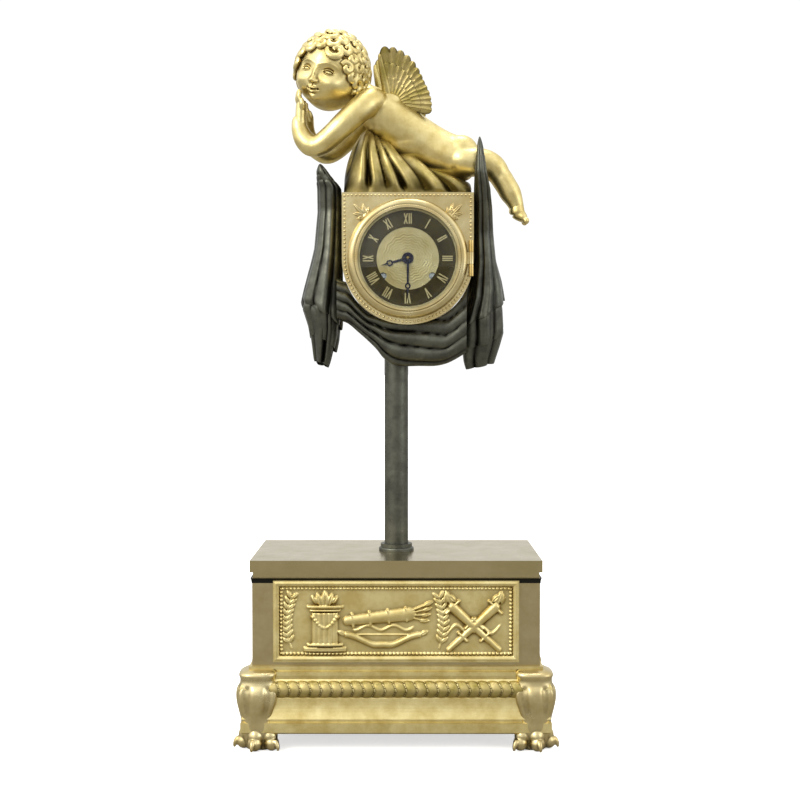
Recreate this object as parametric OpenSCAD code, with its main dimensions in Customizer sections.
// Figural mantel clock: a cloth-hung drum on a slender column over a rectangular plinth,
// with a winged child lying across the case. Millimetres, +Z up, the dial faces -Y.
// The origin is on the surface it stands on, under the middle of the plinth.

/* [Plinth] */
// Width of the plinth body
plinth_w = 196; // [180:1:220]
// Depth of the plinth body
plinth_d = 104; // [92:1:120]
// Height of the plinth body between the base moulding and the top plate
plinth_h = 60; // [52:1:72]
// Wall of the hollow plinth body
plinth_wall = 4; // [2.5:0.5:6]
// Thickness of the top plate
top_t = 12; // [9:1:16]
// Thickness of the top plate over the hollow of the plinth
top_skin = 5; // [3:0.5:8]
// How far the top plate stands out past the body
top_over = 1.5; // [0.5:0.5:4]
// Width of the gilt relief panel
panel_w = 167; // [150:1:172]
// Height of the gilt relief panel
panel_h = 55.5; // [46:0.5:56]
// Thickness of the relief panel's ground
panel_t = 2; // [1.5:0.5:3]
// Width of the raised border round the relief panel
panel_border = 5; // [3:0.5:8]
// How far the relief stands above its ground
relief_rise = 2.6; // [1.5:0.2:4]

/* [Base] */
// Height of the moulding's underside above the table
foot_rise = 12; // [8:1:18]
// Height of the base moulding
mould_h = 45; // [40:1:52]
// Wall of the base moulding behind the plinth's face
mould_wall = 5; // [3:1:10]
// Width of a paw foot where it stands
paw_w = 35; // [30:1:40]
// Width of a foot at its ankle
ankle_w = 24; // [20:1:28]

/* [Column] */
// Diameter of the column
column_d = 17; // [14:0.5:22]
// Length of the column between the plinth and the saddle
column_h = 139; // [110:1:170]
// Diameter of the tie rod inside the column
rod_d = 6; // [5:0.5:8]
// Diameter of the ring at the column's foot
collar_d = 25; // [22:1:32]
// Height of the ring at the column's foot
collar_h = 5; // [3:0.5:8]

/* [Case] */
// Width of the clock case
case_w = 91; // [88:1:100]
// Depth of the clock case from the front plate to the back ring
case_d = 66; // [64:1:76]
// How far the case's centre stands to the right of the column
case_x = 8; // [4:1:10]
// Height of the saddle between the column and the case
saddle_h = 21.8; // [18:0.2:26]
// Wall of the case shell
case_wall = 2; // [1.5:0.5:3]
// Thickness of the front plate and of the back ring
plate_t = 3; // [2.5:0.5:4]

/* [Dial] */
// Radius of the gilt dial plate
dial_r = 34; // [33:0.5:35]
// Outer radius of the dark chapter ring
chapter_ro = 33; // [32:0.5:33.5]
// Inner radius of the dark chapter ring
chapter_ri = 21.5; // [20:0.5:23]
// Outer radius of the hinged front bezel
bezel_ro = 41.5; // [40:0.5:41.5]
// Height of an hour numeral
numeral_h = 7; // [5:0.5:8]
// Length of the minute hand
minute_len = 29; // [24:1:31]
// Length of the hour hand
hour_len = 19.5; // [16:0.5:21]
// Hour shown at rest
hour_shown = 8; // [0:1:11]
// Minute shown at rest
minute_shown = 30; // [0:1:59]

/* [Movement] */
// Radius of the movement's brass plates
movement_r = 39; // [39:0.5:40]
// Thickness of the movement's brass plates
movement_t = 1.6; // [1.2:0.2:2]
// Distance between the two movement plates
pillar_len = 25.4; // [25:0.2:27]
// Length of the pendulum from its bend to the middle of the bob
pendulum_len = 91; // [90:1:93]
// Diameter of the pendulum bob
bob_d = 24; // [18:1:25]
// Radius of the bell
bell_r = 25; // [22:1:26]
// Radial running clearance of an arbor in its hole
run_fit = 0.05; // [0.03:0.01:0.08]

/* [Drapery] */
// Height of the right-hand gathered end above the case's flat top
knot_rise = 40; // [30:1:50]
// How far the swag hangs below the case
swag_drop = 27; // [18:1:30]
// Depth of the folds in the hanging ends
fold_depth = 3; // [1:0.5:4]

/* [Figure] */
// Radius of the child's head from side to side
head_r = 24; // [20:1:26]
// Length of a wing from root to tip
wing_len = 39; // [34:1:46]
// Thickness of a wing
wing_t = 2.4; // [1.8:0.2:3.4]

/* [Hidden] */
$fn = 96;

// Colours
gilt = [0.80, 0.66, 0.33];
pale_gilt = [0.87, 0.76, 0.46];
dark_bronze = [0.27, 0.26, 0.24];
plinth_bronze = [0.33, 0.29, 0.22];
top_bronze = [0.62, 0.58, 0.52];
brass = [0.76, 0.62, 0.32];
steel = [0.55, 0.56, 0.58];
blued = [0.13, 0.14, 0.20];

// Levels up the clock
plinth_z = foot_rise + mould_h;
top_z = plinth_z + plinth_h + top_t;
column_top = top_z + column_h;
case_r = case_w / 2;
dial_z = column_top + saddle_h + case_r;
case_top = dial_z + case_r;
seat = 0.3;

// Levels through the case, from the front at -Y to the back
case_front = -case_d / 2;
shell_front = case_front + plate_t;
shell_back = -case_front - plate_t;
inner_r = case_r - case_wall;
dial_back = shell_front - 1;
dial_t = 1.5;
chapter_t = 0.8;
chapter_back = dial_back - dial_t;
numeral_t = 0.4;
motion_gap = 6;
plates_front = dial_back + motion_gap;
gap_front = plates_front + movement_t;
gap_back = gap_front + pillar_len;
plates_back = gap_back + movement_t;
bob_t = 5;
pendulum_y = column_d / 2 + bob_t / 2 + 1.5;
bell_y = pendulum_y + 4.5;
bell_deep = 9;
hand_t = 0.8;
hand_gap = 1;
hour_hand_y = chapter_back - chapter_t - numeral_t - 0.6;
minute_hand_y = hour_hand_y - hand_t - hand_gap;

// Front door
door_back = case_front - seat;
bezel_ri = dial_r + 0.5;
bezel_deep = 6.5;
pin_r = 0.6;
knuckle_r = 1.7;
hinge_reach = bezel_ro + knuckle_r + 0.4;
hinge_x = case_x + hinge_reach;
knuckle_len = 8;
knuckle_gap = 0.3;

// Wheels: tooth counts, and modules as tooth size in millimetres
great_teeth = 60;
great_module = 0.5333;
leaf10 = 10;
centre_teeth = 72;
centre_module = 0.4;
third_teeth = 66;
third_module = 0.34;
leaf6 = 6;
escape_teeth = 45;
escape_r = 9;
strike_teeth = 60;
strike_module = 0.36;
leaf8 = 8;
pin_teeth = 48;
pin_module = 0.34;
pin_count = 10;
cannon_teeth = 12;
minute_teeth = 36;
minute_module = 0.41667;
hour_teeth = 40;
hour_module = 0.4;
wheel_t = 1;
arbor_r = 0.9;
thin_r = 0.6;
pivot_r = 0.5;
hub_r = 2.2;
drum_r = 12.5;
square_r = 1.7;
wind_r = 2;
drum_arbor_r = 2.5;

// Arbor places in the plane of the dial, from the dial's centre, with +Y up
barrel_x = 17;
barrel_drop = 12;
going_at = [barrel_x, -barrel_drop];
strike_at = [-barrel_x, -barrel_drop];
great_reach = (great_teeth + leaf10) * great_module / 2;
half_span = norm(going_at) / 2;
inter_rise = sqrt(great_reach * great_reach - half_span * half_span);
inter_at = going_at / 2 + [barrel_drop, barrel_x] / norm(going_at) * inter_rise;
third_reach = (centre_teeth + leaf6) * centre_module / 2;
escape_reach = (third_teeth + leaf6) * third_module / 2;
escape_at = [0, 18];
anchor_at = [0, 30.7];
third_up = (third_reach * third_reach - escape_reach * escape_reach
    + escape_at.y * escape_at.y) / (2 * escape_at.y);
third_at = [-sqrt(third_reach * third_reach - third_up * third_up), third_up];
strike_turn = 105;
strike_wheel_at = strike_at + great_reach * [cos(strike_turn), sin(strike_turn)];
pin_turn = 88;
pin_reach = (strike_teeth + leaf8) * strike_module / 2;
pin_at = strike_wheel_at + pin_reach * [cos(pin_turn), sin(pin_turn)];
fly_turn = 62;
fly_reach = (pin_teeth + leaf8) * pin_module / 2;
fly_at = pin_at + fly_reach * [cos(fly_turn), sin(fly_turn)];
motion_turn = 60;
motion_reach = (cannon_teeth + minute_teeth) * minute_module / 2;
motion_at = motion_reach * [cos(motion_turn), sin(motion_turn)];
hammer_at = [-31.5, 17.5];
bell_at = [0, -2];
bell_post_at = [23, -24];
pillar_r = 2;
pillar_angles = [-90, -4, 50, 100, 184];
pillar_ring = movement_r - 4;
post_angles = [25, 155, 205, 335];
post_ring = dial_r + 2.8;
arbors = [[0, 0], inter_at, third_at, escape_at, anchor_at, strike_wheel_at, pin_at, fly_at,
    hammer_at];

// Planes of the wheels, as world Y of each wheel's back face
great_y = gap_front + 2.1;
drum_len = 15;
drum_back = great_y + drum_len;
centre_y = drum_back + 1.8;
second_y = centre_y + 3.6;
third_y = gap_front + 9.9;
escape_y = third_y + 4;
pin_y = escape_y + 2;

// Helpers for points
function unit(v) = v / norm(v);
function polar(r, a) = [r * cos(a), r * sin(a)];
function arc(c, r, a0, a1, n) = [for (i = [0 : n]) c + polar(r, a0 + (a1 - a0) * i / n)];
function bearing(a, b) = atan2(b.y - a.y, b.x - a.x);

// Phase that puts a second wheel in mesh with a first one
function mesh_phase(n1, phase1, n2, turn) = turn + 180 + 180 / n2 - (phase1 - turn) * n1 / n2;

// Outline of a toothed wheel with straight-sided teeth
function tooth(r, m, top, root_half, tip_half, a, pitch) = [
    polar(r - 1.2 * m, a - root_half * pitch), polar(r + top * m, a - tip_half * pitch),
    polar(r + top * m, a + tip_half * pitch), polar(r - 1.2 * m, a + root_half * pitch)];
function wheel_points(n, m, phase = 0) = [for (i = [0 : n - 1])
    each tooth(n * m / 2, m, 0.8, 0.24, 0.09, phase + 360 * i / n, 360 / n)];
function pinion_points(n, m, phase = 0) = [for (i = [0 : n - 1])
    each tooth(n * m / 2, m, 0.6, 0.2, 0.08, phase + 360 * i / n, 360 / n)];

// Smooth stations between chosen ones
function between(a, b, c, d, t) = 0.5 * (2 * b + (c - a) * t + (2 * a - 5 * b + 4 * c - d) * t * t
    + (3 * b - a - 3 * c + d) * t * t * t);
function smooth(s, k) = let (n = len(s)) [for (i = [0 : n - 2], j = [0 : k - 1])
    between(s[max(i - 1, 0)], s[i], s[i + 1], s[min(i + 2, n - 1)], j / k), s[n - 1]];

// A limb's rings: each station is [x, y, z, half-width across, half-width in line with up]
function spot(s) = [s[0], s[1], s[2]];
function heading(s, i) = unit(spot(s[min(i + 1, len(s) - 1)]) - spot(s[max(i - 1, 0)]));
function limb_rings(s, up, n) = [for (i = [0 : len(s) - 1])
    let (t = heading(s, i), u = unit(cross(up, t)), v = cross(t, u))
    [for (k = [0 : n - 1]) spot(s[i]) + u * s[i][3] * cos(360 * k / n)
        + v * s[i][4] * sin(360 * k / n)]];

// Centre of a ring of points
function middle(ring) = [for (a = [0 : 2]) let (v = [for (p = ring) p[a]]) sum(v) / len(ring)];
function sum(v, i = 0) = i < len(v) ? v[i] + sum(v, i + 1) : 0;

// Closed solid through rings of equal point counts
module loft(rings) {
    n = len(rings[0]);
    m = len(rings);
    points = [for (r = rings) each r, middle(rings[0]), middle(rings[m - 1])];
    sides = [for (j = [0 : m - 2], i = [0 : n - 1])
        let (a = j * n + i, b = j * n + (i + 1) % n)
        each [[a, a + n, b + n], [a, b + n, b]]];
    start = [for (i = [0 : n - 1]) [i, (i + 1) % n, n * m]];
    finish = [for (i = [0 : n - 1]) let (o = (m - 1) * n) [o + (i + 1) % n, o + i, n * m + 1]];
    polyhedron(points = points, faces = concat(sides, start, finish), convexity = 8);
}

module limb(stations, up = [0, 0, 1], n = 12, k = 2) {
    loft(limb_rings(smooth(stations, k), up, n));
}

// Children drawn in the plane of the dial, with their base at world y and rising to the front
module facing(y, at = [0, 0]) {
    translate([case_x + at.x, y, dial_z + at.y]) rotate([90, 0, 0]) children();
}

module disc(y, t, r, at = [0, 0]) {
    facing(y, at) cylinder(h = t, r = r);
}

// Plinth and base

function mould_points() = concat(
    [[-mould_wall, 0], [6.5, 0], [7.5, 1], [7.5, 7.5], [5.5, 7.5], [5.5, 9.5], [7, 10]],
    [for (i = [1 : 6]) [7 - 2.6 * i / 6 - 0.6 * sin(180 * i / 6), 10 + 13.5 * i / 6]],
    arc([2.5, 29.8], 5.5, -75, 75, 9),
    [[3, mould_h - 8.5], [3.5, mould_h - 6], [3.5, mould_h - 3.5], [1, mould_h - 3.5],
    [1, mould_h - 2], [2, mould_h - 2], [2, mould_h], [-mould_wall, mould_h]]);

// The moulding's section set out from a half-width and closed across the middle
module mould_slab(half, length) {
    side = [for (p = mould_points()) if (p.x > -mould_wall) [half + p.x, p.y]];
    other = [for (i = [len(side) - 1 : -1 : 0]) [-side[i].x, side[i].y]];
    translate([0, length / 2, 0]) rotate([90, 0, 0]) linear_extrude(length)
        polygon(concat(side, other));
}

module mould_block() {
    reach = 2 * (plinth_w + plinth_d);
    translate([0, 0, foot_rise]) intersection() {
        mould_slab(plinth_w / 2, reach);
        rotate([0, 0, 90]) mould_slab(plinth_d / 2, reach);
    }
}

module centred_box(w, d, z0, z1) {
    translate([-w / 2, -d / 2, z0]) cube([w, d, z1 - z0]);
}

module base_moulding() color(gilt) difference() {
    mould_block();
    centred_box(plinth_w - 2 * mould_wall, plinth_d - 2 * mould_wall, 0, plinth_z + 1);
}

module plinth_body() color(plinth_bronze) difference() {
    centred_box(plinth_w, plinth_d, plinth_z, plinth_z + plinth_h);
    centred_box(plinth_w - 2 * plinth_wall, plinth_d - 2 * plinth_wall, plinth_z - 1,
        plinth_z + plinth_h + 1);
    translate([-panel_w / 2, -plinth_d / 2 - 1, panel_z]) cube([panel_w, panel_sink + 1, panel_h]);
}

panel_sink = 1;
panel_z = plinth_z + plinth_h - panel_h - 1.5;

module plinth_top() color(top_bronze) difference() {
    z = plinth_z + plinth_h;
    union() {
        centred_box(plinth_w + 2 * top_over, plinth_d + 2 * top_over, z + top_t / 3, z + top_t);
        centred_box(plinth_w - 1, plinth_d - 1, z, z + top_t / 3 + 0.5);
    }
    translate([0, 0, z - 1]) cylinder(h = top_t + 2, d = rod_d + 1);
    centred_box(plinth_w - 2 * plinth_wall - 4, plinth_d - 2 * plinth_wall - 4, z - 1, nut_z);
}

// Generic trophy of love: an altar, a bow over a quiver, and crossed torches
module relief_bar(x, z, length, r, turn) {
    translate([x, 0, z]) rotate([0, 90 - turn, 0]) cylinder(h = length, r = r, center = true, $fn = 24);
}

module relief_panel() color(gilt) {
    y_back = -plinth_d / 2 + panel_sink;
    y_face = y_back - panel_t;
    z_mid = panel_z + panel_h / 2;
    inner_w = panel_w - 2 * panel_border;
    inner_h = panel_h - 2 * panel_border;
    translate([-panel_w / 2, y_face, panel_z]) cube([panel_w, panel_t, panel_h]);
    difference() {
        translate([-panel_w / 2, y_face - 1.2, panel_z]) cube([panel_w, 1.2, panel_h]);
        translate([-inner_w / 2, y_face - 2, panel_z + panel_border]) cube([inner_w, 3, inner_h]);
    }
    intersection() {
        translate([-inner_w / 2, y_face - relief_rise, panel_z + panel_border])
            cube([inner_w, relief_rise, inner_h]);
        translate([0, y_face, 0]) union() {
            relief_bar(0, z_mid + 5, inner_w * 0.32, 2.4, 0);
            relief_bar(4, z_mid - 6, inner_w * 0.28, 3.0, 0);
            relief_bar(inner_w * 0.32, z_mid, inner_h * 1.05, 2.2, 42);
            relief_bar(inner_w * 0.32, z_mid, inner_h * 1.05, 2.2, 138);
            translate([-inner_w * 0.34, 0, z_mid - inner_h * 0.38])
                cylinder(h = inner_h * 0.12, r = 12, $fn = 48);
            translate([-inner_w * 0.34, 0, z_mid - inner_h * 0.28])
                cylinder(h = inner_h * 0.42, r1 = 8, r2 = 7, $fn = 48);
            translate([-inner_w * 0.34, 0, z_mid + inner_h * 0.12])
                cylinder(h = inner_h * 0.08, r = 9.5, $fn = 48);
            translate([-inner_w * 0.34, 0, z_mid + inner_h * 0.28]) sphere(r = inner_h * 0.13, $fn = 32);
        }
    }
}

// Foot stations: height, how far its outer face stands past the plinth, and its width
foot_top = plinth_z - 2;
function foot_stations() = [
    [0, paw_out, paw_w], [3, paw_out + 1, paw_w], [foot_rise * 0.7, paw_out, paw_w - 2],
    [foot_rise * 1.15, 10, ankle_w + 3], [foot_rise * 1.7, 9, ankle_w],
    [plinth_z * 0.46, 9.5, ankle_w + 2], [plinth_z * 0.62, 10.5, ankle_w + 5],
    [plinth_z * 0.76, 9, ankle_w + 3], [foot_top - 3, 6.5, ankle_w + 1], [foot_top, 4, ankle_w - 3]];
paw_out = 12;

// Rounded square outline in plan
function squircle(half, a) = let (c = cos(a), s = sin(a))
    half * [sign(c) * pow(abs(c), 0.55), sign(s) * pow(abs(s), 0.55)];

module foot_form() {
    rings = [for (s = smooth(foot_stations(), 2)) let (c = s[1] - s[2] / 2)
        [for (k = [0 : 19]) let (p = squircle(s[2] / 2, 360 * k / 20)) [c + p.x, c + p.y, s[0]]]];
    loft(rings);
}

// A corner foot, with its corner set by the signs of x and y
module foot(sx, sy) color(pale_gilt) difference() {
    translate([sx * plinth_w / 2, sy * plinth_d / 2, 0])
        mirror([sx < 0 ? 1 : 0, 0, 0]) mirror([0, sy < 0 ? 1 : 0, 0]) foot_form();
    mould_block();
}

module foot_front_left() { foot(-1, -1); }
module foot_front_right() { foot(1, -1); }
module foot_back_left() { foot(-1, 1); }
module foot_back_right() { foot(1, 1); }

// Column

nut_z = top_z - top_skin;
washer_t = 2;
nut_t = 6;
rod_low = nut_z - washer_t - nut_t - 5;
rod_high = column_top + 14;

module column() color(dark_bronze) difference() {
    translate([0, 0, top_z]) cylinder(h = column_h, d = column_d);
    translate([0, 0, top_z - 1]) cylinder(h = column_h + 2, d = rod_d + 0.6);
}

module column_collar() color(dark_bronze) translate([0, 0, top_z]) rotate_extrude()
    difference() {
        union() {
            square([collar_d / 2 - collar_h / 4, collar_h]);
            translate([collar_d / 2 - collar_h / 4, collar_h / 4]) circle(d = collar_h / 2, $fn = 32);
            translate([collar_d / 2 - collar_h / 4, 0]) square([collar_h / 4, collar_h / 4]);
        }
        translate([-1, -1]) square([column_d / 2 + 1.05, collar_h + 2]);
    }

module tie_rod() color(steel) translate([0, 0, rod_low]) cylinder(h = rod_high - rod_low, d = rod_d);

module tie_nut() color(steel) difference() {
    union() {
        translate([0, 0, nut_z - washer_t]) cylinder(h = washer_t, d = 3 * rod_d);
        translate([0, 0, nut_z - washer_t - nut_t]) cylinder(h = nut_t, d = 2.2 * rod_d, $fn = 6);
    }
    translate([0, 0, rod_low]) cylinder(h = nut_z - rod_low + 1, d = rod_d);
}

saddle_back = column_d / 2;
saddle_front = -9;
saddle_w = 40;
flange_t = 3;
module case_saddle() color(dark_bronze) difference() {
    union() {
        translate([0, 0, column_top]) cylinder(h = 3, d = column_d + 2);
        translate([0, 0, column_top]) cylinder(h = saddle_h + 6, d = column_d - 1);
        intersection() {
            disc(saddle_back, saddle_back - saddle_front, case_r + flange_t);
            translate([case_x - saddle_w / 2, saddle_front - 1, column_top])
                cube([saddle_w, saddle_back - saddle_front + 2, saddle_h + 10]);
        }
    }
    disc(case_d / 2, case_d, case_r + seat);
    translate([0, 0, column_top - 1]) cylinder(h = rod_high - column_top + 1, d = rod_d);
}

// Case

module horseshoe(r) {
    circle(r = r);
    translate([-r, 0]) square([2 * r, r]);
}

slot_w = 17;
slot_d = 6;
module case_shell() color(gilt) difference() {
    facing(shell_back) linear_extrude(shell_back - shell_front) difference() {
        horseshoe(case_r);
        horseshoe(inner_r);
    }
    translate([case_x - slot_w / 2, pendulum_y - slot_d / 2, dial_z - case_r - 5])
        cube([slot_w, slot_d, 14]);
    for (sx = [-1, 1]) translate([case_x + sx * stud_x, 0, case_top - case_wall - 1])
        cylinder(h = case_wall + 2, r = stud_r);
}

stud_x = 20;
stud_r = 1.5;

module front_plate() color(pale_gilt) difference() {
    facing(shell_front) linear_extrude(plate_t) horseshoe(case_r);
    disc(shell_front + 1, plate_t + 2, dial_r + 0.1);
}

module back_ring() color(gilt) difference() {
    facing(shell_back + plate_t) linear_extrude(plate_t) horseshoe(case_r);
    disc(shell_back + plate_t + 1, plate_t + 2, dial_r + 3);
}

strap_w = 6;
strap_t = 1.5;
module movement_straps() color(brass) for (sx = [-1, 1])
    translate([case_x + sx * (inner_r - strap_t / 2 - 0.7) - strap_t / 2, shell_front, dial_z - strap_w / 2 + 4])
        cube([strap_t, shell_back - shell_front, strap_w]);

// Knuckles of a door hinge about a vertical pin: the outer pair is fixed, the inner one turns
module knuckle(x, y, z0, z1) {
    translate([x, y, z0]) cylinder(h = z1 - z0, r = knuckle_r, $fn = 48);
}

front_pin_y = case_front - knuckle_r - 0.2;
back_pin_y = -case_front + knuckle_r + 0.2;
back_hinge_x = case_x - hinge_reach;
pin_half = knuckle_len * 1.5 + knuckle_gap;

module hinge_lugs(x, y, toward) {
    difference() {
        for (s = [-1, 1]) translate([0, 0, dial_z + s * (knuckle_len + knuckle_gap) - knuckle_len / 2]) {
            translate([x, y, 0]) cylinder(h = knuckle_len, r = knuckle_r, $fn = 48);
            translate([x - 0.9, min(y, toward), 0]) cube([1.8, abs(toward - y), knuckle_len]);
        }
        translate([x, y, dial_z - pin_half - 1]) cylinder(h = 2 * pin_half + 2, r = pin_r, $fn = 32);
    }
    translate([x, y, dial_z - pin_half]) cylinder(h = 2 * pin_half, r = pin_r, $fn = 32);
}

module door_hinge_lugs() color(brass) {
    hinge_lugs(hinge_x, front_pin_y, case_front);
    hinge_lugs(back_hinge_x, back_pin_y, -case_front);
}

module door_knuckle(x, y, toward_x, y0, y1) {
    difference() {
        union() {
            knuckle(x, y, dial_z - knuckle_len / 2, dial_z + knuckle_len / 2);
            translate([min(x, toward_x), y0, dial_z - knuckle_len / 2 ])
                cube([abs(toward_x - x), y1 - y0, knuckle_len]);
        }
        translate([x, y, dial_z - knuckle_len]) cylinder(h = 2 * knuckle_len, r = pin_r + run_fit, $fn = 32);
    }
}

glass_r = bezel_ri + 1.5;
glass_back = door_back - bezel_deep + 2.2;
glass_t = 1;
glass_rise = 4;
module front_bezel() color(pale_gilt) difference() {
    union() {
        facing(door_back) rotate_extrude() polygon(concat(
            [[bezel_ri, 0], [bezel_ro, 0], [bezel_ro, 1.5]],
            arc([bezel_ro - 4, 2], 3.6, 10, 100, 8),
            [[bezel_ri + 3, 4.2], [bezel_ri + 1.6, bezel_deep], [bezel_ri, bezel_deep]]));
        door_knuckle(hinge_x, front_pin_y, case_x + bezel_ro - 2, front_pin_y - 1, front_pin_y + 1);
    }
    facing(door_back - bezel_deep + 2.2) cylinder(h = 1.2, r = glass_r + 0.05);
}

module bezel_glass() color([0.8, 0.9, 0.9, 0.3]) {
    dome_r = (bezel_ri * bezel_ri + glass_rise * glass_rise) / (2 * glass_rise);
    facing(glass_back) rotate_extrude($fn = 96) union() {
        translate([bezel_ri - 1.5, 0]) square([3, glass_t]);
        intersection() {
            translate([0, glass_rise - dome_r]) difference() {
                circle(r = dome_r, $fn = 200);
                circle(r = dome_r - glass_t, $fn = 200);
            }
            square([bezel_ri - 0.3, glass_rise + 1]);
        }
    }
}

door_t = 2;
door_r = bezel_ro - 0.5;
back_door_y = -case_front + seat + door_t;
module back_door() color(gilt) difference() {
    union() {
        disc(back_door_y, door_t, door_r);
        disc(back_door_y + 1.5, 2, 5, [0, 0]);
        door_knuckle(back_hinge_x, back_pin_y, case_x - door_r + 2, back_pin_y - 1, back_pin_y + 1);
        disc(back_door_y + 5, 5, 2.5, [door_r - 6, 0]);
    }
}

// Dial and hands

module dial_plate() color(pale_gilt) difference() {
    union() {
        disc(dial_back, dial_t, dial_r);
        disc(dial_back - dial_t, 0.3, chapter_ri - 3);
    }
    disc(dial_back + 1, dial_t + 3, 3.4);
    for (at = [going_at, strike_at]) disc(dial_back + 1, dial_t + 3, square_r + 0.8, at);
}

module chapter_ring() color(plinth_bronze) facing(chapter_back) linear_extrude(chapter_t)
    difference() {
        circle(r = chapter_ro);
        circle(r = chapter_ri);
    }

stroke = 0.8;
letters = ["I", "II", "III", "IV", "V", "VI", "VII", "VIII", "IX", "X", "XI", "XII"];
function letter_w(c) = c == "I" ? stroke * 1.7 : stroke * 4.2;
module bar(x0, x1) {
    polygon([[x0 - stroke / 2, 0], [x0 + stroke / 2, 0], [x1 + stroke / 2, numeral_h],
        [x1 - stroke / 2, numeral_h]]);
}
module letter(c) {
    half = stroke * 1.3;
    if (c == "I") bar(0, 0);
    if (c == "V") {
        bar(0, half);
        bar(0, -half);
    }
    if (c == "X") {
        bar(-half, half);
        bar(half, -half);
    }
}
function widths(word, upto) = sum([for (i = [0 : 1 : upto - 1]) letter_w(word[i])]);
module hour_numerals() color(pale_gilt) facing(chapter_back - chapter_t) linear_extrude(numeral_t)
    for (h = [1 : 12]) rotate(-30 * h) translate([0, (chapter_ri + chapter_ro - numeral_h) / 2])
        for (i = [0 : len(letters[h - 1]) - 1])
            translate([widths(letters[h - 1], i) + letter_w(letters[h - 1][i]) / 2
                - widths(letters[h - 1], len(letters[h - 1])) / 2, 0]) letter(letters[h - 1][i]);

// A hand: a hub, a tapered blade and an open ring two thirds of the way out
module hand(length, y, w, hub, bore) {
    ring = length * 0.66;
    difference() {
        union() {
            disc(y, hand_t, hub);
            disc(y, hand_t, w * 1.1, [0, ring]);
            facing(y) linear_extrude(hand_t) polygon([[-w / 2, 0], [-w / 3, length * 0.72],
                [0, length], [w / 3, length * 0.72], [w / 2, 0]]);
        }
        disc(y + 1, hand_t + 2, bore);
        disc(y + 1, hand_t + 2, w * 0.6, [0, ring]);
    }
}

hour_angle = -30 * (hour_shown + minute_shown / 60);
minute_angle = -6 * minute_shown;
module at_dial_centre(angle) {
    translate([case_x, 0, dial_z]) rotate([0, -angle, 0]) translate([-case_x, 0, -dial_z]) children();
}
pipe_r = 2.6;
cannon_r = 1.7;
module hour_hand() color(blued) at_dial_centre(hour_angle) hand(hour_len, hour_hand_y, 2, 4, pipe_r + run_fit);
module minute_hand() color(blued) at_dial_centre(minute_angle) hand(minute_len, minute_hand_y, 1.8, 3, 1);

// Movement plates

module movement_plate(y) {
    difference() {
        disc(y, movement_t, movement_r);
        for (at = arbors) disc(y + 1, movement_t + 2, pivot_r + run_fit, at);
        for (at = [going_at, strike_at]) disc(y + 1, movement_t + 2, wind_r + run_fit, at);
    }
}

module front_movement_plate() color(brass) difference() {
    movement_plate(gap_front);
    disc(gap_front + 1, movement_t + 2, arbor_r + run_fit);
    disc(gap_front + 1, movement_t + 2, arbor_r + run_fit, motion_at);
}

module back_movement_plate() color(brass) difference() {
    movement_plate(plates_back);
    for (at = [anchor_at, hammer_at]) disc(plates_back + 1, movement_t + 2, arbor_r + run_fit, at);
}

module plate_pillars() color(brass) for (a = pillar_angles)
    disc(gap_back, pillar_len, pillar_r, polar(pillar_ring, a));

module mounting_posts() color(brass) for (a = post_angles)
    disc(plates_front, plates_front - shell_front, 1.6, polar(post_ring, a));

// Arbors and wheels, each with its pivots in the two plates

module arbor(at, r = arbor_r) {
    disc(gap_back - seat, pillar_len - 2 * seat, r, at);
    disc(gap_back + movement_t * 0.8, gap_back - gap_front + movement_t * 1.6, pivot_r, at);
}

module toothed(y, t, points, bore, at) {
    facing(y, at) linear_extrude(t) difference() {
        polygon(points);
        circle(r = bore, $fn = 48);
    }
}

// A wheel with four crossings cut out between its rim and its hub
module crossed(y, t, points, r_rim, at, bore = arbor_r - 0.02) {
    facing(y, at) linear_extrude(t) difference() {
        polygon(points);
        difference() {
            circle(r = r_rim);
            circle(r = hub_r + 0.6);
            for (a = [0, 90]) rotate(a + 45) translate([-r_rim - 1, -0.9]) square([2 * r_rim + 2, 1.8]);
        }
        circle(r = bore, $fn = 48);
    }
}

inter_pinion_phase = mesh_phase(great_teeth, 0, leaf10, bearing(going_at, inter_at));
centre_pinion_phase = mesh_phase(great_teeth, 0, leaf10, bearing(inter_at, [0, 0]));
third_pinion_phase = mesh_phase(centre_teeth, 0, leaf6, bearing([0, 0], third_at));
escape_pinion_phase = mesh_phase(third_teeth, 0, leaf6, bearing(third_at, escape_at));
strike_pinion_phase = mesh_phase(great_teeth, 0, leaf10, strike_turn);
pin_pinion_phase = mesh_phase(strike_teeth, 0, leaf8, pin_turn);
fly_pinion_phase = mesh_phase(pin_teeth, 0, leaf8, fly_turn);
minute_wheel_phase = mesh_phase(cannon_teeth, 0, minute_teeth, motion_turn);
hour_wheel_phase = mesh_phase(leaf10, 0, hour_teeth, motion_turn + 180);

module barrel(at) {
    difference() {
        union() {
            toothed(great_y, 1.4, wheel_points(great_teeth, great_module), wind_r, at);
            disc(drum_back, drum_len, drum_r, at);
        }
        disc(drum_back - 1.2, drum_len - 2.4, drum_r - 1, at);
        disc(drum_back + 1, drum_len + 4, drum_arbor_r + run_fit, at);
    }
}

// Winding arbor: pivots in both plates, squared where the key goes, with its ratchet wheel
ratchet_teeth = 24;
ratchet_r = 5.6;
module winding_arbor(at) {
    disc(drum_back + 0.6, drum_back + 0.6 - gap_front - seat, drum_arbor_r, at);
    disc(plates_back - 0.2, plates_back - plates_front + 0.8, wind_r, at);
    facing(plates_front, at) rotate(45)
        cylinder(h = plates_front - dial_back + dial_t - 0.6, r = square_r, $fn = 4);
    facing(plates_front - seat, at) linear_extrude(1.2) polygon([for (i = [0 : ratchet_teeth - 1])
        each [polar(ratchet_r, 360 * i / ratchet_teeth),
            polar(ratchet_r - 0.8, 360 * (i + 0.15) / ratchet_teeth)]]);
}

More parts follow.
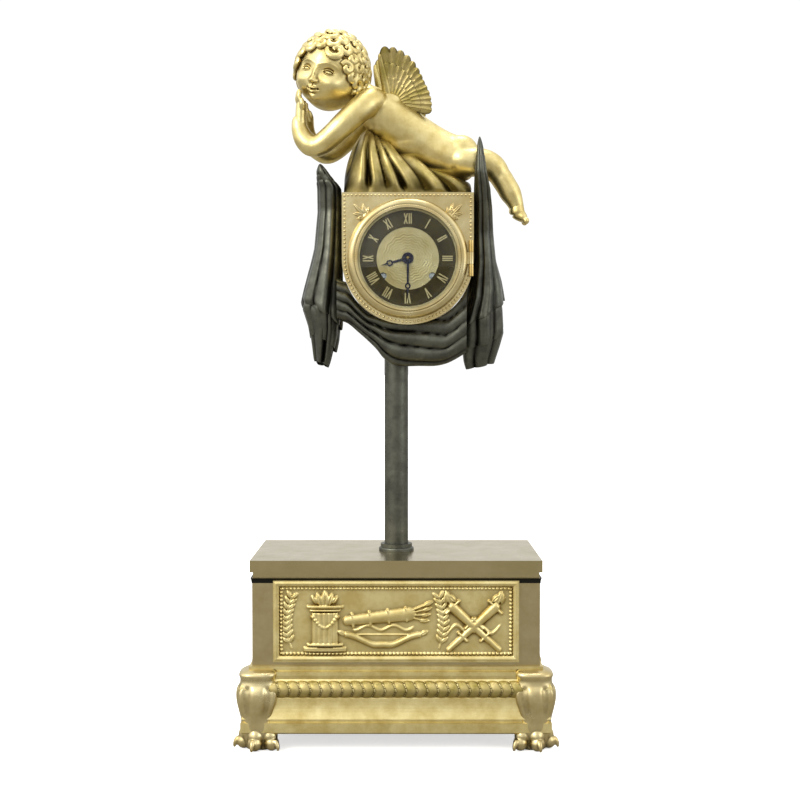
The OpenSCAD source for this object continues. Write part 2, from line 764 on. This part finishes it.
module going_barrel() color(brass) barrel(going_at);
module strike_barrel() color(brass) barrel(strike_at);
module going_winding_arbor() color(steel) winding_arbor(going_at);
module strike_winding_arbor() color(steel) winding_arbor(strike_at);

module intermediate_wheel() color(brass) {
    arbor(inter_at);
    crossed(second_y, wheel_t, wheel_points(great_teeth, great_module), 13.6, inter_at);
    toothed(great_y + 0.4, 2.2, pinion_points(leaf10, great_module, inter_pinion_phase), arbor_r - 0.02,
        inter_at);
}

module centre_wheel() color(brass) {
    arbor([0, 0]);
    disc(gap_front + 1, gap_front - minute_hand_y + hand_t + 1.6, arbor_r);
    crossed(centre_y, wheel_t, wheel_points(centre_teeth, centre_module), 12.6, [0, 0]);
    toothed(second_y + 0.4, 1.8, pinion_points(leaf10, great_module, centre_pinion_phase),
        arbor_r - 0.02, [0, 0]);
    toothed(cannon_y, 1.4, pinion_points(cannon_teeth, minute_module), arbor_r - 0.02, [0, 0]);
    disc(cannon_y - 1.3, cannon_y - 1.3 - minute_hand_y, cannon_r);
}

cannon_y = plates_front - seat - 0.5;
hour_wheel_y = cannon_y - 2;
module minute_wheel() color(brass) {
    disc(gap_front - 0.2, gap_front - hour_wheel_y + 1.3, arbor_r, motion_at);
    crossed(cannon_y, wheel_t, wheel_points(minute_teeth, minute_module, minute_wheel_phase), 6, motion_at);
    toothed(hour_wheel_y + 0.2, 1.4, pinion_points(leaf10, hour_module), arbor_r - 0.02, motion_at);
}

module hour_wheel() color(brass) difference() {
    union() {
        toothed(hour_wheel_y, wheel_t, wheel_points(hour_teeth, hour_module, hour_wheel_phase),
            cannon_r + run_fit, [0, 0]);
        disc(hour_wheel_y - wheel_t, hour_wheel_y - wheel_t - hour_hand_y + hand_t, pipe_r);
    }
    disc(hour_wheel_y + 1, 12, cannon_r + run_fit);
}

module third_wheel() color(brass) {
    arbor(third_at, thin_r);
    crossed(third_y, wheel_t, wheel_points(third_teeth, third_module), 9.6, third_at, thin_r - 0.02);
    toothed(centre_y + 0.5, 2, pinion_points(leaf6, centre_module, third_pinion_phase), pivot_r, third_at);
}

module escape_wheel() color(brass) {
    arbor(escape_at, thin_r);
    facing(escape_y, escape_at) linear_extrude(0.8) difference() {
        polygon([for (i = [0 : escape_teeth - 1]) each [polar(escape_r, 360 * i / escape_teeth),
            polar(escape_r - 1, 360 * (i + 0.45) / escape_teeth)]]);
        difference() {
            circle(r = escape_r - 2);
            circle(r = hub_r);
            for (a = [0, 90]) rotate(a) translate([-escape_r, -0.7]) square([2 * escape_r, 1.4]);
        }
    }
    toothed(third_y + 0.5, 2, pinion_points(leaf6, third_module, escape_pinion_phase), pivot_r, escape_at);
}

// Recoil anchor whose pallets reach down past both sides of the escape wheel
pallet_gap = 0.85;
module anchor() color(steel) {
    arbor(anchor_at);
    disc(plates_back + 3.4, plates_back + 3.4 - gap_back, arbor_r, anchor_at);
    drop = anchor_at.y - escape_at.y;
    spread = 48;
    reach = escape_r + pallet_gap;
    tips = [for (s = [-1, 1]) [s * reach * sin(spread), reach * cos(spread) - drop]];
    facing(escape_y + 0.6, anchor_at) linear_extrude(2) difference() {
        union() {
            circle(r = 2.2, $fn = 48);
            for (p = tips) polygon([[-1.2 * sign(p.x), 1.6], p + [sign(p.x) * 1.8, 1.2],
                p + [sign(p.x) * 1.6, -0.8], p, p + [0, 1.5], [0, -1.6]]);
        }
        translate([0, -drop]) circle(r = reach);
    }
    facing(plates_back + 3.2, anchor_at) linear_extrude(1) union() {
        circle(r = 2, $fn = 48);
        translate([-0.8, -crutch_len]) square([1.6, crutch_len]);
    }
    for (s = [-1, 1]) facing(pendulum_y + 2, anchor_at) translate([s * 1.75 - 0.5, -crutch_len, 0])
        cube([1, 1.6, pendulum_y + 2 - plates_back - 2.2]);
    facing(plates_back + 3.2, anchor_at) translate([-2.25, -crutch_len, 0]) cube([4.5, 1.6, 1]);
}
crutch_len = 15;

module strike_wheel() color(brass) {
    arbor(strike_wheel_at);
    crossed(second_y, wheel_t, wheel_points(strike_teeth, strike_module), 9, strike_wheel_at);
    toothed(great_y + 0.4, 2.2, pinion_points(leaf10, great_module, strike_pinion_phase), arbor_r - 0.02,
        strike_wheel_at);
}

pin_ring = 6.4;
module pin_wheel() color(brass) {
    arbor(pin_at);
    toothed(pin_y, wheel_t, wheel_points(pin_teeth, pin_module), arbor_r - 0.02, pin_at);
    toothed(second_y + 0.5, 2, pinion_points(leaf8, strike_module, pin_pinion_phase), arbor_r - 0.02, pin_at);
    for (i = [0 : pin_count - 1]) disc(pin_y + 1.6, 1.6, 0.4, pin_at + polar(pin_ring, 360 * i / pin_count));
}

fly_half = 5;
module fly() color(brass) {
    arbor(fly_at);
    toothed(pin_y + 0.4, 1.8, pinion_points(leaf8, pin_module, fly_pinion_phase), arbor_r - 0.02, fly_at);
    facing(gap_back - 1, fly_at) rotate(20) translate([-fly_half, -0.3, 0])
        cube([2 * fly_half, 0.6, gap_back - 1 - pin_y - 2.1]);
}

// Bell and hammer behind the movement

module bell() color(steel) difference() {
    facing(bell_y + bell_deep, bell_at) rotate_extrude() polygon(concat(
        [for (i = [0 : 8]) [bell_r * sin(90 * i / 8), bell_deep * (1 - cos(90 * i / 8))]],
        [for (i = [8 : -1 : 0]) [(bell_r - 1.2) * sin(90 * i / 8),
            bell_deep - (bell_deep - 1.2) * cos(90 * i / 8)]]));
    disc(bell_y + bell_deep + 1, 4, 1.2, bell_at);
}

stand_t = 1.6;
module bell_stand() color(brass) {
    y = bell_y + bell_deep + 0.1;
    disc(y + stand_t, y + stand_t - plates_back, 1.8, bell_post_at);
    facing(y + stand_t) linear_extrude(stand_t) hull() {
        translate(bell_post_at) circle(r = 2.6, $fn = 32);
        translate(bell_at) circle(r = 2.9, $fn = 32);
    }
    disc(y, 3, 1.15, bell_at);
    disc(y - 1.6, 1.3, 2.2, bell_at);
}

hammer_arm = 14;
hammer_y = bell_y + 2.5;
hammer_head_at = [-bell_r - 4.4, 3.2];
hammer_lift = 12;
module hammer() color(steel) {
    arbor(hammer_at);
    disc(hammer_y, hammer_y - gap_back, arbor_r, hammer_at);
    facing(hammer_y) linear_extrude(1.2) union() {
        translate(hammer_at) circle(r = 2, $fn = 48);
        hull() {
            translate(hammer_at) circle(r = 0.7, $fn = 24);
            translate(hammer_head_at) circle(r = 0.7, $fn = 24);
        }
    }
    disc(hammer_y + 1.4, 4, 2.8, hammer_head_at);
    facing(pin_y + 1.5, hammer_at) rotate(bearing(hammer_at, pin_at) - 30) translate([0, -0.5, 0])
        cube([norm(pin_at - hammer_at) - pin_ring - 1.6, 1, 1.2]);
}

// Pendulum

cock_w = 9;
module suspension_cock() color(brass) difference() {
    union() {
        translate([case_x - cock_w / 2, plates_back, dial_z + anchor_at.y + 2.6])
            cube([cock_w, pendulum_y + 3 - plates_back, 2.4]);
        translate([case_x - cock_w / 2, pendulum_y + 1.2, dial_z + anchor_at.y - 2.4])
            cube([cock_w, 1.8, 6]);
        disc(pendulum_y + 1.4, 3.4, 0.6, anchor_at);
    }
}

rod_w = 1.6;
module pendulum_rod() color(steel) difference() {
    union() {
        disc(pendulum_y + 0.8, 1.6, 1.8, anchor_at);
        facing(pendulum_y + rod_w / 2, anchor_at) translate([-rod_w / 2, -pendulum_len + bob_d / 2 - 4, 0])
            cube([rod_w, pendulum_len - bob_d / 2 + 3, rod_w]);
    }
    disc(pendulum_y + 2, 4, 0.6 + run_fit, anchor_at);
}

bob_z = dial_z + anchor_at.y - pendulum_len;
module pendulum_bob() color(brass) difference() {
    facing(pendulum_y + bob_t / 2, [0, anchor_at.y - pendulum_len]) rotate_extrude() polygon(concat(
        [[0, 0.3]], arc([bob_d / 2 - 2, bob_t / 2], bob_t / 2 - 0.4, -70, 70, 8), [[0, bob_t - 0.3]]));
    translate([case_x - rod_w / 2, pendulum_y - rod_w / 2, bob_z]) cube([rod_w, rod_w, bob_d]);
}

// Drapery

// Case outline that the cloth keeps clear of, grown by a gap
module case_envelope(gap) {
    facing(case_d / 2 + 2) linear_extrude(case_d + 4) horseshoe(case_r + gap);
}

// Ring of a hanging end. A station is height, two places out from the side of the case, half depth
// and middle y
function fold_ring(s, side, n, folds) = [for (k = [0 : n - 1])
    let (a = 360 * k / n, c = side + (s[1] + s[2]) / 2, h = (s[2] - s[1]) / 2,
        w = fold_depth * min(1, s[3] / 14) * sin(folds * a))
    [c + (h - 0.3 * abs(w)) * cos(a), s[4] + (s[3] + w) * sin(a), s[0]]];

module hanging_end(stations, side, folds) {
    loft([for (s = smooth(stations, 2)) fold_ring(s, side, 28, folds)]);
}

right_in = case_x + case_r + 0.4;
left_in = case_x - case_r - 0.4;
tail_z = dial_z - case_r - swag_drop - 2;
module drape_right() color(dark_bronze) difference() {
    hanging_end([
        [case_top + knot_rise, 2.6, 5.6, 2, -23], [case_top + knot_rise * 0.8, 1.6, 7.1, 3.4, -24],
        [case_top + 14, 0, 10.1, 4.4, -25], [case_top + 4, 0, 13.1, 9, -17],
        [case_top - 8, 0, 15.1, 15, -7], [dial_z + 20, 0, 16.1, 17, 0], [dial_z, 0.6, 18.1, 20, 0],
        [dial_z - 20, -4, 22.1, 21, 0], [dial_z - 40, -11.4, 24.1, 20, 0],
        [dial_z - 52, -10.6, 24.6, 17, 0], [dial_z - 62, -8.6, 21.1, 14, 0],
        [tail_z + 7, -7, 18.4, 10.5, 0], [tail_z, -2.5, 14.6, 6.5, 0]], right_in, 5);
    case_envelope(seat);
}

module drape_left() color(dark_bronze) difference() {
    hanging_end([
        [case_top + knot_rise * 0.56, -19.1, -12.1, 3.5, -15],
        [case_top + knot_rise * 0.42, -20.1, -8.1, 6.5, -13], [case_top + 6, -19.1, 0, 11.5, -6],
        [case_top - 10, -19.1, 0, 15, 0], [dial_z + 10, -21.1, 0, 18, 0],
        [dial_z - 10, -25.6, 0, 20, 0], [dial_z - 36, -30.4, -0.1, 20, 0],
        [dial_z - 50, -26, -2.4, 17, 0], [dial_z - 62, -23.8, -5.6, 12.5, 0],
        [tail_z + 1, -20.8, -10.6, 6, 0]], left_in, 5);
    case_envelope(seat);
}

// Swag under the drum, from the left side to the right-hand gathered end. It hugs the drum at the left
// and hangs lowest right of the column. Stations: x from the case's centre, share of the drop, and how
// far below the dial's centre the cloth starts
swag_front = -27;
swag_back = -11;
swag_stations = [[-case_r - 0.1, -0.16, 14], [-41, -0.08, 16], [-34.5, 0.12, 24], [-28, 0.33, 30],
    [-22, 0.55, 30], [-17, 0.78, 30], [-11, 0.94, 30], [-3, 1, 30], [8, 1, 30], [19, 1, 30],
    [27, 0.94, 30], [case_r - 11.9, 0.8, 30]];
module drape_swag() color(dark_bronze) difference() {
    loft([for (s = smooth(swag_stations, 2))
        let (low = dial_z - case_r - 2 - swag_drop * s[1], high = dial_z - s[2],
            half = (high - low) / 2, c = (high + low) / 2)
        [for (k = [0 : 15]) let (a = 360 * k / 16, pleat = 1.2 * sin(3 * a))
            [case_x + s[0], (swag_front + swag_back) / 2
                + ((swag_back - swag_front) / 2 + pleat) * cos(a), c + half * sin(a)]]]);
    case_envelope(seat);
    translate([0, 0, top_z]) cylinder(h = column_h + saddle_h, d = column_d + 6);
}

// Cloth heaped over the flat top of the case, higher under the chest, hollowed by the child's body.
// Stations: x from the case's centre, height of the heap, share of the case's half depth
heap_stations = [[-case_r + 2, 24, 0.62], [-37, 39, 0.76], [-29, 49, 0.8], [-17, 40.5, 0.8],
    [-4, 31, 0.74], [9, 24.5, 0.68], [22, 17, 0.64], [34, 13, 0.6], [case_r - 2, 10, 0.5]];
function heap_point(s, a) = [case_x + s[0], s[2] * case_d / 2 * cos(a) + 1.2 * sin(4 * a),
    case_top + seat + (sin(a) < 0 ? 0 : (s[1] + 1.4 * sin(6 * a)) * pow(sin(a), 0.8))];
module drape_top() color(gilt) difference() {
    loft([for (s = smooth(heap_stations, 2)) [for (k = [0 : 19]) heap_point(s, 360 * k / 20)]]);
    lying() torso();
    lying() limb(near_arm_stations, [0, 1, 0], 12, 2);
    lying() limb(far_arm_stations, [0, 1, 0], 12, 2);
}

// The child, lying across the case on its front with its head to the left.
// Its places are measured from the middle of the case's flat top
module lying() {
    translate([case_x, 0, case_top]) children();
}

torso_stations = [
    [-33, -3, 73, 8, 8], [-28, -2, 69, 14, 13.5], [-19, -1, 61.5, 18, 17], [-7, 0, 51.5, 18, 17],
    [6, 0, 42.5, 17, 16.5], [18, 0, 35.5, 17.5, 16.5], [29, 0, 29.5, 18.5, 17],
    [38, 0, 26.5, 17.5, 16], [46, 0, 25, 10, 9]];
near_leg_stations = [
    [32, -9, 25, 9, 9], [42, -10, 24, 10, 10], [54, -10, 24, 9, 9], [62, -10, 20, 8, 8],
    [68, -10, 11, 7, 7], [73.5, -10, 2, 6.6, 6.6], [77, -10, -5.5, 4.8, 4.8],
    [78.5, -11, -11, 4.8, 4.6], [82, -12, -15.5, 3.8, 3.2], [84, -12.5, -18, 2, 2]];
far_leg_stations = [
    [32, 9, 27, 9, 9], [42, 10.5, 27, 10, 10], [54, 11, 26, 9, 9], [62.5, 11, 22, 8, 8],
    [69, 11, 13.5, 7, 7], [74.5, 11, 4.5, 6.4, 6.4], [78, 11, -3, 4.8, 4.8],
    [79.5, 10.5, -8.5, 4.8, 4.6], [83, 10, -13, 3.8, 3.2], [85, 9.5, -15.5, 2, 2]];

module torso() { limb(torso_stations, [0, 0, 1], 16, 2); }
module putto_body() color(gilt) lying() {
    torso();
    limb(near_leg_stations, [0, 1, 0], 12, 2);
    limb(far_leg_stations, [0, 1, 0], 12, 2);
}

head_at = [-55, -6, 84];
head_tilt = 12;
neck_stations = [[-31, -3, 72, 8, 8], [-38, -4, 76, 8.5, 8.5], [-46, -5, 80, 9.5, 9.5]];
module neck() { limb(neck_stations, [0, 1, 0], 12, 2); }

// Rings of the head from chin to crown, turned to its tilt
module skull() {
    translate(head_at) rotate([0, head_tilt, 0]) loft([for (j = [0 : 10]) let (a = -90 + 18 * j,
            e = max(0.06, cos(a)))
        [for (k = [0 : 17]) let (b = 20 * k)
            [head_r * e * cos(b), head_r * 0.96 * e * sin(b), head_r * 1.28 * sin(a)]]]);
}

// Curls swell and sink over the crown by products of sines
function curl(a, b) = 1.12 + 0.07 * sin(5 * a) * cos(6 * b) + 0.04 * cos(9 * a);
module hair() {
    translate(head_at) rotate([0, head_tilt, 0]) loft([for (j = [0 : 10]) let (a = -8 + 9.7 * j,
            e = max(0.06, cos(a)))
        [for (k = [0 : 23]) let (b = 15 * k, s = head_r * curl(a, b))
            [e * cos(b) * s + 2, e * sin(b) * s, 1.2 * sin(a) * s]]]);
}
module putto_head() color(gilt) lying() difference() {
    union() {
        skull();
        hair();
        neck();
    }
    torso();
}

near_arm_stations = [
    [-26, -15, 67, 7, 7], [-34, -20, 59, 7.6, 7.4], [-45, -22.5, 48, 7, 7], [-56, -21.5, 37, 6.4, 6.4],
    [-64, -19, 31.5, 6.4, 6.2], [-71.5, -17.5, 36.5, 5.8, 5.6], [-76, -16.5, 45, 4.7, 4.5],
    [-77.5, -15.5, 52.5, 4.2, 3.8], [-77, -14, 59.5, 5.4, 3.8], [-75.5, -12.5, 66.5, 3.6, 2.6]];
far_arm_stations = [
    [-24, 13, 67, 7, 7], [-32, 18, 58, 7.4, 7.2], [-43, 20, 46, 7, 7], [-53, 18, 36, 6.4, 6.4],
    [-61, 14, 32.5, 6, 6], [-67, 9, 37, 5.2, 5.2], [-70, 4.5, 43.5, 4.4, 4.2],
    [-71, 1, 49.5, 5, 3.6], [-70.5, -1, 55, 3.6, 2.6]];
module arm(stations) {
    difference() {
        limb(stations, [0, 1, 0], 12, 2);
        torso();
        skull();
        neck();
    }
}
module putto_near_arm() color(gilt) lying() arm(near_arm_stations);
module putto_far_arm() color(gilt) lying() arm(far_arm_stations);

// A wing is an arched fan of feathers: its outline's radius falls by wing_fall over the first two thirds
// of the fan, as a smooth step, and its tips are scalloped
feathers = 7;
wing_fall = 0.28;
function wing_edge(n) = [for (i = [n : -1 : 0]) let (t = i / n, u = min(1, t / 0.65),
    r = wing_len * (1 - wing_fall * u * u * (3 - 2 * u)) * (0.94 + 0.06 * abs(sin(180 * feathers * t))))
    polar(r, 100 - 108 * t)];
module wing(root, lean, n = 42) {
    translate(root) rotate([90 + lean, 0, 0]) translate([0, 0, -wing_t / 2]) linear_extrude(wing_t)
        polygon(concat([[-3, -4], [6, -6]], wing_edge(n), [[-7, 12]]));
}
module putto_near_wing() color(gilt) lying() difference() {
    wing([-12, -8, 66], 12);
    torso();
}
module putto_far_wing() color(gilt) lying() difference() {
    wing([-16, 8, 66], -12);
    torso();
}

plinth_body();
plinth_top();
relief_panel();
base_moulding();
foot_front_left();
foot_front_right();
foot_back_left();
foot_back_right();
column();
column_collar();
tie_rod();
tie_nut();
case_saddle();
case_shell();
front_plate();
back_ring();
movement_straps();
door_hinge_lugs();
front_bezel();
bezel_glass();
back_door();
dial_plate();
chapter_ring();
hour_numerals();
hour_hand();
minute_hand();
front_movement_plate();
back_movement_plate();
plate_pillars();
mounting_posts();
going_barrel();
going_winding_arbor();
intermediate_wheel();
centre_wheel();
third_wheel();
escape_wheel();
anchor();
minute_wheel();
hour_wheel();
strike_barrel();
strike_winding_arbor();
strike_wheel();
pin_wheel();
fly();
hammer();
bell();
bell_stand();
suspension_cock();
pendulum_rod();
pendulum_bob();
drape_top();
drape_left();
drape_right();
drape_swag();
putto_body();
putto_head();
putto_near_arm();
putto_far_arm();
putto_near_wing();
putto_far_wing();
